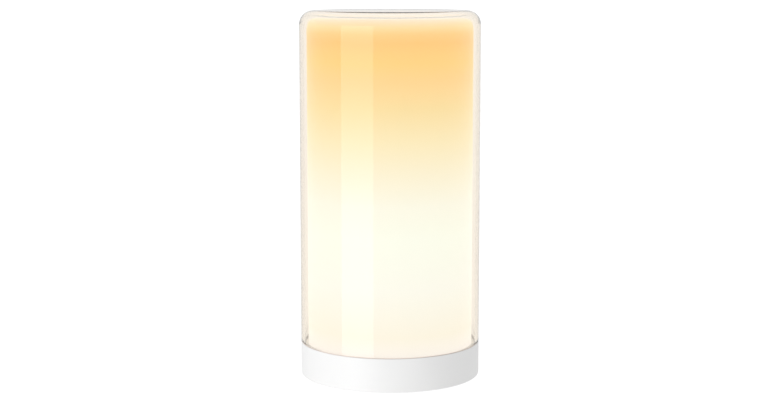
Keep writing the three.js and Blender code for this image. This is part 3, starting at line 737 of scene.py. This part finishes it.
def weave_thread(mesh, row, across, pitch, reach, middle):
    """One thread of the cloth, along X when it goes across, which rises and falls at each crossing."""
    sides, thick, wide, wave = 6, 0.055 * MM, 0.26 * MM, 0.07 * MM
    offset = row * pitch
    half_steps = int(reach / (pitch / 2))
    if half_steps < 1:
        return
    rings = []
    for step in range(-half_steps, half_steps + 1):
        along = step * pitch / 2
        lift = wave * math.cos(math.pi * (along / pitch + row + across))
        ring = []
        for k in range(sides):
            turn = 2 * math.pi * k / sides
            side, up = wide * math.cos(turn), thick * math.sin(turn)
            x, y = (along, offset + side) if across else (offset + side, along)
            ring.append(mesh.verts.new((x, y, middle + lift + up)))
        rings.append(ring)
    for first, second in zip(rings, rings[1:]):
        for k in range(sides):
            n = (k + 1) % sides
            mesh.faces.new((first[k], first[n], second[n], second[k]))
    mesh.faces.new(rings[0][::-1])
    mesh.faces.new(rings[-1])


def make_grille_cloth():
    """A plain weave: threads both ways, each one passing over and under the others in turn."""
    low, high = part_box("grille_cloth")
    radius = high.x
    pitch = 0.75 * MM
    count = int(radius / pitch)
    mesh = bmesh.new()
    for across in (False, True):
        for row in range(-count, count + 1):
            reach = math.sqrt(radius ** 2 - (row * pitch) ** 2) - pitch / 2
            weave_thread(mesh, row, across, pitch, reach, (low.z + high.z) / 2)
    cloth = finished("woven_cloth", mesh, sharp=80)
    stands_for(cloth, "speaker_cloth", "grille_cloth")


# ------------------------------------------------------------------ screws
def make_screw(name, head_radius, head_height, shank_radius, shank_length):
    """A pan-head screw with a cross recess and ridges for its thread, its head's underside at z = 0."""
    pitch, tip, neck = 0.7 * MM, 0.3 * MM, 0.25 * MM
    root = shank_radius * 0.8
    rim = 0.35  # the height of the head's rim, as a share of the head
    off_end = 0.999  # keeps the ring at half the head's radius just off the ends of the recess
    section = [(0, -shank_length), (root * 0.6, -shank_length)]
    turns = int((shank_length - 2 * tip) / pitch)
    for k in range(turns):
        z = -shank_length + tip + k * pitch
        section += [(root, z), (shank_radius, z + pitch / 2)]
    section += [(root, -neck), (root, 0), (head_radius, 0)]
    steps = 6
    for k in range(1, steps):
        angle = math.pi / 2 * k / steps
        z = head_height * (rim + (1 - rim) * math.sin(angle))
        section.append((head_radius * math.cos(angle * off_end), z))
    section.append((0, head_height))
    arm, slot, depth = head_radius * 0.5, head_radius * 0.13, head_height * 0.4
    above = head_height + PAST
    recess = [
        block((-arm, -slot, depth), (arm, slot, above)),
        block((-slot, -arm, depth), (slot, arm, above)),
    ]
    return carved(turned(name, section, SMALL_STEPS), remove=recess)


def make_screws():
    """Every screw of a kind is a copy of one pattern, each turned a little further than the last."""
    kinds = (  # prefix, how many, head height, shank radius, head down
        ("cover_screw", 4, 0.9 * MM, 1.1 * MM, True),
        ("plate_screw", 3, 1.3 * MM, 1.0 * MM, False),
        ("driver_screw", 4, 1.1 * MM, 0.95 * MM, False),
    )
    for prefix, count, head, shank, head_down in kinds:
        low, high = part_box(f"{prefix}_1")
        head_radius, length = (high.x - low.x) / 2, high.z - low.z - head
        pattern = make_screw(f"{prefix}_pattern", head_radius, head, shank, length)
        if head_down:
            pattern.data.transform(Matrix.Rotation(math.pi, 4, "X"))
        seat = low.z + head if head_down else high.z - head
        for k in range(1, count + 1):
            place = centre(f"{prefix}_{k}")
            screw = new_object(f"{prefix}_{k}_fine", pattern.data.copy())
            turn = Matrix.Rotation(math.radians(37 * k), 4, "Z")
            screw.data.transform(Matrix.Translation((place.x, place.y, seat)) @ turn)
            stands_for(screw, "steel", f"{prefix}_{k}")
        bpy.data.objects.remove(pattern)


# ------------------------------------------------------------------ keys and inlet
def key_marks(name, face):
    """Shallow cutters for a generic sign on a key: a ring, a minus or a plus."""
    floor, above = face - 0.45 * MM, face + PAST
    long, short = 1.3 * MM, 0.2 * MM
    if name == "power":
        inner, outer = 0.8 * MM, 1.15 * MM
        ring = [(inner, floor), (outer, floor), (outer, above), (inner, above)]
        return [turned("tool", ring, HOLE_STEPS)]
    marks = [block((-short, -long, floor), (short, long, above))]
    if name == "volume_up":
        marks.append(block((-long, -short, floor), (long, short, above)))
    return marks


def make_keys():
    """Round keys with a dished face, a flange behind the wall and a short stem for the plunger."""
    radius, edge, dish = 2.9 * MM, 0.3 * MM, 0.3 * MM
    stem, flange = 1.5 * MM, 4 * MM
    back, flange_back, flange_front, face = 43.7 * MM, 44.8 * MM, 45.6 * MM, 48.75 * MM
    shares = (0.8, 0.6, 0.4, 0.2, 0)
    dished = [(share * (radius - edge), face - dish * (1 - share ** 2)) for share in shares]
    section = [
        (0, back), (stem, back), (stem, flange_back),
        (flange, flange_back), (flange, flange_front), (radius, flange_front),
        *arc(radius - edge, face - edge, edge, 0, 90, 6),
        *dished,
    ]
    for name in KEYS:
        plunger = f"{name}_plunger"
        cap = carved(turned(f"{name}_key", section, KEY_STEPS), remove=key_marks(name, face))
        outward(cap, centre(plunger).z, bearing(plunger))
        stands_for(cap, "white_housing", f"{name}_button", body=f"{name}_key")


def make_inlet():
    """The inlet's rolled metal shell, its tongue and the tongue's contacts."""
    low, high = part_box("inlet_receptacle")
    height = (low.z + high.z) / 2
    wall, edge, depth = 0.35 * MM, 0.12 * MM, 1 * MM
    width, tall = high.x - low.x, high.z - low.z
    front, back = high.y, low.y
    insets = (  # how far in from the shell's outside, and where
        (edge, back), (0, back + edge), (0, front - edge), (edge, front),
        (wall - edge, front), (wall, front - edge), (wall, back + depth),
    )
    stations = []
    for inset, y in insets:
        inner_tall = tall - 2 * inset
        outline = rounded_rectangle(width - 2 * inset, inner_tall, inner_tall / 2 - 0.05 * MM, 10)
        stations.append((outline, y))
    shell = facing_rear("inlet_shell", stations, height)
    stands_for(shell, "steel", "inlet_receptacle")

    low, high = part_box("inlet_tongue")
    width, tall = high.x - low.x, high.z - low.z
    taper, corner = 0.4 * MM, 0.1 * MM
    blunt = rounded_rectangle(width, tall, corner, 3)
    tip = rounded_rectangle(width - taper, tall - 0.3 * MM, corner, 3)
    tongue = facing_rear("inlet_core", ((blunt, low.y), (blunt, high.y - taper), (tip, high.y)), height)
    stands_for(tongue, "black_plastic", "inlet_tongue")

    count, pitch, half_width, thickness = 12, 0.5 * MM, 0.12 * MM, 0.04 * MM
    start, end = low.y + 1 * MM, high.y - 0.6 * MM
    contacts = []
    for k in range(count):
        x = (k - (count - 1) / 2) * pitch
        for z in (high.z, low.z - thickness):
            contacts.append(block((x - half_width, start, z), (x + half_width, end, z + thickness)))
    row = joined("inlet_contacts", contacts)
    stands_for(row, "copper_winding", "inlet_tongue", look="gold_contacts")


# ------------------------------------------------------------------ light column
def make_light_plate():
    """The plate that clamps the diffuser's bead. It stands on a rib and has a collar for the column."""
    low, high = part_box("light_plate")
    radius = high.x
    deck, collar_top = low.z, high.z
    plate_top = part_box("lamp_connector")[0].z - 0.1 * MM
    plate_bottom = plate_top - 1.5 * MM
    rib_inner, rib_outer = 36.5 * MM, 41.2 * MM
    screw_hole, edge = 1.3 * MM, 0.3 * MM
    section = [
        (0, plate_bottom), (rib_inner, plate_bottom), (rib_inner, deck),
        (rib_outer, deck), (rib_outer, plate_bottom), (radius, plate_bottom),
        *arc(radius - edge, plate_top - edge, edge, 0, 90, 4),
        (0, plate_top),
    ]
    core_low, core_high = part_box("led_core")
    core_width = core_high.x - core_low.x
    collar_width = core_width + 5 * MM
    outline = rounded_rectangle(collar_width, collar_width, 3 * MM)
    top_outline = rounded_rectangle(collar_width - 2 * edge, collar_width - 2 * edge, 2.7 * MM)
    collar = stacked("tool", (
        (outline, plate_top - 0.5 * MM), (outline, collar_top - edge), (top_outline, collar_top),
    ))
    opening = rounded_rectangle(core_width + 0.6 * MM, core_width + 0.6 * MM, 2.2 * MM)
    remove = [
        stacked("tool", ((opening, plate_top), (opening, collar_top + PAST))),
        moved(cylinder(WIRE_HOLE_RADIUS, plate_bottom - PAST, plate_top + PAST), WIRE_HOLE_X),
    ]
    for k in range(1, 4):
        remove.append(over(cylinder(screw_hole, deck - PAST, plate_top + PAST), f"plate_screw_{k}"))
    plate = carved(turned("column_plate", section, MEDIUM_STEPS), [collar], remove)
    stands_for(plate, "white_inner", "light_plate")


def make_light_column():
    """A square aluminium tube with a plug in its top and a strip of LEDs on each face."""
    low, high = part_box("led_core")
    width = high.x - low.x
    bore = width - 4 * MM
    outer = rounded_rectangle(width, width, 2 * MM)
    inner = rounded_rectangle(bore, bore, 1 * MM)
    stations = ((outer, low.z), (outer, high.z), (inner, high.z), (inner, low.z))
    core = stacked("column_core", stations, closed=True)
    stands_for(core, "aluminium", "led_core")

    cap_low, cap_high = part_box("core_cap")
    shoulder, edge = high.z + 0.1 * MM, 0.4 * MM
    plug_width, top_width = bore - 0.8 * MM, width - 2 * edge
    plug = rounded_rectangle(plug_width, plug_width, 1 * MM)
    top = rounded_rectangle(top_width, top_width, 1.6 * MM)
    cap = stacked("column_cap", (
        (plug, cap_low.z), (plug, shoulder),
        (outer, shoulder), (outer, cap_high.z - edge), (top, cap_high.z),
    ))
    stands_for(cap, "white_inner", "core_cap")
    for k in range(1, 5):
        make_led_strip(k)


def square(width, corner):
    return rounded_rectangle(width, width, corner, 3)


def make_led_strip(k):
    """A white board with solder pads, LED packages and their lenses, on one face of the column."""
    node = f"led_strip_{k}"
    low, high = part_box(node)
    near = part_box("led_core")[1].x + 0.15 * MM
    board_width, board_thickness = 10 * MM, 1 * MM
    front = near + board_thickness
    package_height, cup_floor = front + 0.8 * MM, front + 0.5 * MM
    lens_bottom, lens_top = front + 0.52 * MM, front + 0.72 * MM
    pad_place, pad_half_width, pad_half_height = 2.6 * MM, 0.8 * MM, 1.2 * MM
    pad_top = front + 0.06 * MM
    foot, rim = square(3.4 * MM, 0.3 * MM), square(3.1 * MM, 0.3 * MM)
    mouth, floor = square(2.5 * MM, 0.6 * MM), square(2.2 * MM, 0.5 * MM)
    count = 10
    pitch = (high.z - low.z) / count
    board = block((-board_width / 2, near, low.z), (board_width / 2, front, high.z))
    packages = []
    lenses = []
    pads = []
    for i in range(count):
        z = low.z + pitch * (i + 0.5)
        package = ((foot, front), (rim, package_height), (mouth, package_height), (floor, cup_floor))
        lens = ((floor, lens_bottom), (mouth, lens_top))
        packages.append(facing_rear("tool", package, z))
        lenses.append(facing_rear("tool", lens, z))
        for x in (-pad_place, pad_place):
            corner = (x - pad_half_width, front, z - pad_half_height)
            pads.append(block(corner, (x + pad_half_width, pad_top, z + pad_half_height)))
    pieces = (
        ("board", [board], "white_board", "white_board"),
        ("packages", packages, "white_board", "white_inner"),
        ("lenses", lenses, "white_board", "led_lens"),
        ("pads", pads, "steel", "steel"),
    )
    for name, solids, slot, look in pieces:
        piece = moved(joined(f"{node}_{name}", solids), degrees=90 * (k - 1))
        stands_for(piece, slot, node, look=look)


# ------------------------------------------------------------------ loudspeaker
def mm(pairs):
    """A section given in millimetres, in metres."""
    return [(radius * MM, z * MM) for radius, z in pairs]


def follows_cone(piece, inner, outer):
    """Bends a ring: its outer edge stays with the basket and its inner edge moves with the cone."""
    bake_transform(piece, BODY, "cone_assembly", (outer, 0, 0), (inner, 0, 0))
    shares = piece.data.attributes["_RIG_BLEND"].data
    for vertex in piece.data.vertices:
        distance = math.hypot(vertex.co.x, vertex.co.y)
        share = min(1.0, max(0.0, (outer - distance) / (outer - inner)))
        shares[vertex.index].value = share * share * (3 - 2 * share)


def driver_ring(name, section, slot, node, body=BODY):
    """A ring of the driver from its section in millimetres."""
    stands_for(turned(name, mm(section), MEDIUM_STEPS), slot, node, body=body)


def softened(inner, outer, bottom, top, edge):
    """A ring's rectangular section with rounded edges."""
    corners = [(inner, bottom), (outer, bottom), (outer, top), (inner, top)]
    return rounded(corners, {index: edge for index in range(4)})


def make_loudspeaker():
    """The driver's fixed rings, its cone and dust cap, and the parts with functions of their own."""
    seal = [(22.5, 3.5), (23.8, 3.5), (23.8, 4.3), (22.5, 4.3)]
    driver_ring("driver_seal", seal, "black_foam", "driver_gasket")
    make_basket()
    make_suspension()
    cone = [
        (6.8, 9.3), (8.6, 8.05), (10.5, 6.9), (12.7, 5.8), (15, 4.9), (16.2, 4.9),
        (16.2, 5.35), (15.2, 5.35), (12.9, 6.25), (10.9, 7.35), (9.0, 8.6), (7.3, 9.9), (6.8, 9.9),
    ]
    driver_ring("paper_cone", cone, "paper_cone", "cone", "cone_assembly")
    cap = [
        (0, 6.4), (1.8, 6.49), (3.5, 6.75), (5, 7.17), (6.2, 7.7), (7, 8.14), (7.5, 8.5),
        (7.1, 8.55), (6, 8.1), (4.8, 7.6), (3.4, 7.2), (1.7, 6.94), (0, 6.85),
    ]
    driver_ring("dust_dome", cap, "paper_cone", "dust_cap", "cone_assembly")
    make_voice_coil()
    plate = softened(7.6, 13.5, 11.4, 12.9, 0.15)
    driver_ring("magnet_top_plate", plate, "steel", "top_plate")
    driver_ring("ring_magnet", softened(9, 14.5, 12.9, 16, 0.3), "ferrite", "magnet")
    yoke = [(0, 11.2), (5.6, 11.2), (5.6, 16), (13.2, 16), (13.2, 17.2), (0, 17.2)]
    driver_ring("pole_yoke", rounded(yoke, {1: 0.4, 4: 0.3}), "steel", "yoke")


def make_basket():
    """The pressed steel basket, with six windows round its cone and a hole for each of its screws."""
    section = [
        (23.2, 4.3), (28, 4.3), (28, 5.5), (24.4, 5.5), (24.4, 6.9), (15.2, 11.4), (8.2, 11.4),
        (8.2, 10.6), (14.5, 10.6), (22.1, 6.9), (20.5, 6.9), (20.5, 5.9), (23.2, 5.9),
    ]
    edges = {1: 0.3, 2: 0.3, 4: 0.5, 5: 0.5, 8: 0.5, 9: 0.4}
    windows, window_radius, window_place = 6, 2.7 * MM, 18.9 * MM
    remove = []
    for k in range(windows):
        window = moved(cylinder(window_radius, 7 * MM, 12 * MM), window_place)
        remove.append(moved(window, degrees=360 / windows * k))
    for k in range(1, 5):
        remove.append(over(cylinder(PILOT_RADIUS, 3 * MM, 6 * MM), f"driver_screw_{k}"))
    basket = turned("steel_basket", mm(rounded(section, edges)), MEDIUM_STEPS)
    stands_for(carved(basket, remove=remove), "steel", "driver_basket")


def surround_section():
    """A half roll between two flat rims, in millimetres."""
    middle, bottom, top, inner, outer = 18.1, 5.4, 5.85, 1.8, 2.3
    rim_inner, rim_outer = 15.4, 22.9
    lift = math.degrees(math.asin((top - bottom) / outer))
    return [
        (rim_inner, bottom),
        *arc(middle, bottom, inner, 180, 0, 14),
        (rim_outer, bottom),
        (rim_outer, top),
        *arc(middle, bottom, outer, lift, 180 - lift, 14),
        (rim_inner, top),
    ]


def spider_section():
    """A sheet with three corrugations and a raised rim, in millimetres."""
    low, high, steps, half, wave, z = 6.8, 12.6, 30, 0.15, 0.15, 10.2
    lower = []
    for i in range(steps + 1):
        share = i / steps
        height = z - half + wave * math.sin(3 * math.pi * share) ** 2
        lower.append((low + (high - low) * share, height))
    upper = [(radius, height + 2 * half) for radius, height in reversed(lower)]
    rim = [(14.2, z - half), (14.2, 10.6), (12.8, 10.6)]
    return lower + rim + upper


def make_suspension():
    """The half-roll surround and the corrugated spider, which stretch as the cone moves."""
    pieces = (  # name, section, slot, node, and the inner and outer end of what bends
        ("rubber_surround", surround_section(), "black_foam", "surround", 16.2, 20.5),
        ("corrugated_spider", spider_section(), "amber_damper", "spider", 7.4, 12.6),
    )
    for name, section, slot, node, inner, outer in pieces:
        piece = turned(name, mm(section), MEDIUM_STEPS)
        piece.data.materials.append(LOOKS[slot])
        follows_cone(piece, inner * MM, outer * MM)
        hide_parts(node)


def make_voice_coil():
    """The coil's former with its wound wire, turn by turn."""
    inner, former, winding, dip = 6.2, 6.6, 7.1, 0.08
    bottom, low, high, top = 9, 11.4, 13.6, 14.6
    turns = 11
    pitch = (high - low) / turns
    wire = []
    for k in range(turns):
        middle = low + pitch * (k + 0.5)
        wire += [
            (former, middle - pitch / 2),
            (winding - dip, middle - pitch / 3), (winding, middle), (winding - dip, middle + pitch / 3),
        ]
    section = [(inner, bottom), (former, bottom), *wire, (former, high), (former, top), (inner, top)]
    driver_ring("wound_coil", section, "copper_winding", "voice_coil", "cone_assembly")


# ------------------------------------------------------------------ stage, light and camera
def make_stage():
    """A plain pale floor that glows, so that it stays white up to the horizon. It is clear from below."""
    mesh = bmesh.new()
    bmesh.ops.create_circle(mesh, cap_ends=True, segments=96, radius=30.0)
    floor = finished("studio_floor", mesh)
    if floor.data.polygons[0].normal.z < 0:
        floor.data.flip_normals()
    m = Nodes("studio_floor")
    grain = m.noise(40.0, 3.0)
    ramp = m.ramp(grain, "Fac", [(0.3, (0.24, 0.24, 0.24)), (0.7, (0.26, 0.26, 0.26))])
    m.link(ramp, "Color", m.shader, "Base Color")
    m.set(Roughness=0.8, Emission_Strength=0.9, Emission_Color=(1, 1, 1, 1), Specular_IOR_Level=0.1)
    side = m.tree.nodes.new("ShaderNodeNewGeometry")
    m.clear_where(side, "Backfacing", (1, 1, 1))
    floor.data.materials.append(m.material)
    floor.visible_diffuse = False
    floor.visible_glossy = False
    floor.visible_transmission = False
    floor.visible_shadow = False


def make_softbox(name, place, width, tall, radiance):
    """A softbox that faces the lamp's axis at its own height. Its radiance is what a mirror shows."""
    light = bpy.data.lights.new(name, "AREA")
    light.shape = "RECTANGLE"
    light.size = width
    light.size_y = tall
    light.energy = radiance * math.pi * width * tall
    lamp = bpy.data.objects.new(name, light)
    bpy.context.scene.collection.objects.link(lamp)
    lamp.location = place
    aim = Vector((0, 0, place[2])) - lamp.location
    lamp.rotation_euler = aim.to_track_quat("-Z", "Y").to_euler()
    lamp.visible_camera = False
    lamp.visible_transmission = False


def make_world():
    """White behind the lamp and through its shell, and a dimmer light from the room and the floor."""
    world = bpy.data.worlds.new("studio")
    bpy.context.scene.world = world
    world.use_nodes = True
    tree = world.node_tree
    tree.nodes.clear()
    output = tree.nodes.new("ShaderNodeOutputWorld")
    path = tree.nodes.new("ShaderNodeLightPath")
    where = tree.nodes.new("ShaderNodeTexCoord")
    split = tree.nodes.new("ShaderNodeSeparateXYZ")
    tree.links.new(where.outputs["Generated"], split.inputs["Vector"])

    def background(strength):
        node = tree.nodes.new("ShaderNodeBackground")
        node.inputs["Color"].default_value = (1, 1, 1, 1)
        node.inputs["Strength"].default_value = strength
        return node

    def mixed(factor, below, above):
        node = tree.nodes.new("ShaderNodeMixShader")
        tree.links.new(factor, node.inputs["Fac"])
        tree.links.new(below.outputs[0], node.inputs[1])
        tree.links.new(above.outputs[0], node.inputs[2])
        return node

    def step(out, low, high):
        node = tree.nodes.new("ShaderNodeMapRange")
        node.interpolation_type = "SMOOTHSTEP"
        node.inputs["From Min"].default_value = low
        node.inputs["From Max"].default_value = high
        tree.links.new(split.outputs[out], node.inputs["Value"])
        return node.outputs["Result"]

    seen = background(1.0)
    room = mixed(step("Y", 0.1, 0.6), background(ROOM_LIGHT), background(BACK_LIGHT))
    lit = mixed(step("Z", -0.02, -0.3), room, background(FLOOR_LIGHT))
    mirrored = mixed(path.outputs["Is Glossy Ray"], lit, background(MIRRORED_LIGHT))
    through = mixed(path.outputs["Is Transmission Ray"], mirrored, background(THROUGH_LIGHT))
    final = mixed(path.outputs["Is Camera Ray"], through, seen)
    tree.links.new(final.outputs["Shader"], output.inputs["Surface"])


def make_camera():
    data = bpy.data.cameras.new("camera")
    data.sensor_width = 36.0
    data.lens = CAMERA_LENS
    data.clip_start = 0.01
    data.clip_end = 100.0
    camera = bpy.data.objects.new("camera", data)
    bpy.context.scene.collection.objects.link(camera)
    camera.location = (0, -CAMERA_DISTANCE, CAMERA_HEIGHT)
    camera.rotation_euler = (math.radians(90 - CAMERA_TILT), 0, 0)
    bpy.context.scene.camera = camera


make_camera()
finish_cad_nodes()
make_shell()
make_diffuser()
make_gasket()
make_housing()
make_bottom_cover()
make_feet()
make_grille_cloth()
make_screws()
make_keys()
make_inlet()
make_light_plate()
make_light_column()
make_loudspeaker()
make_stage()
make_world()
# At the front left: its reflection is the bright band down the shell.
make_softbox("band_softbox", SOFTBOX_PLACE, *SOFTBOX_SIZE, SOFTBOX_RADIANCE)
bpy.context.scene.view_settings.view_transform = "Standard"
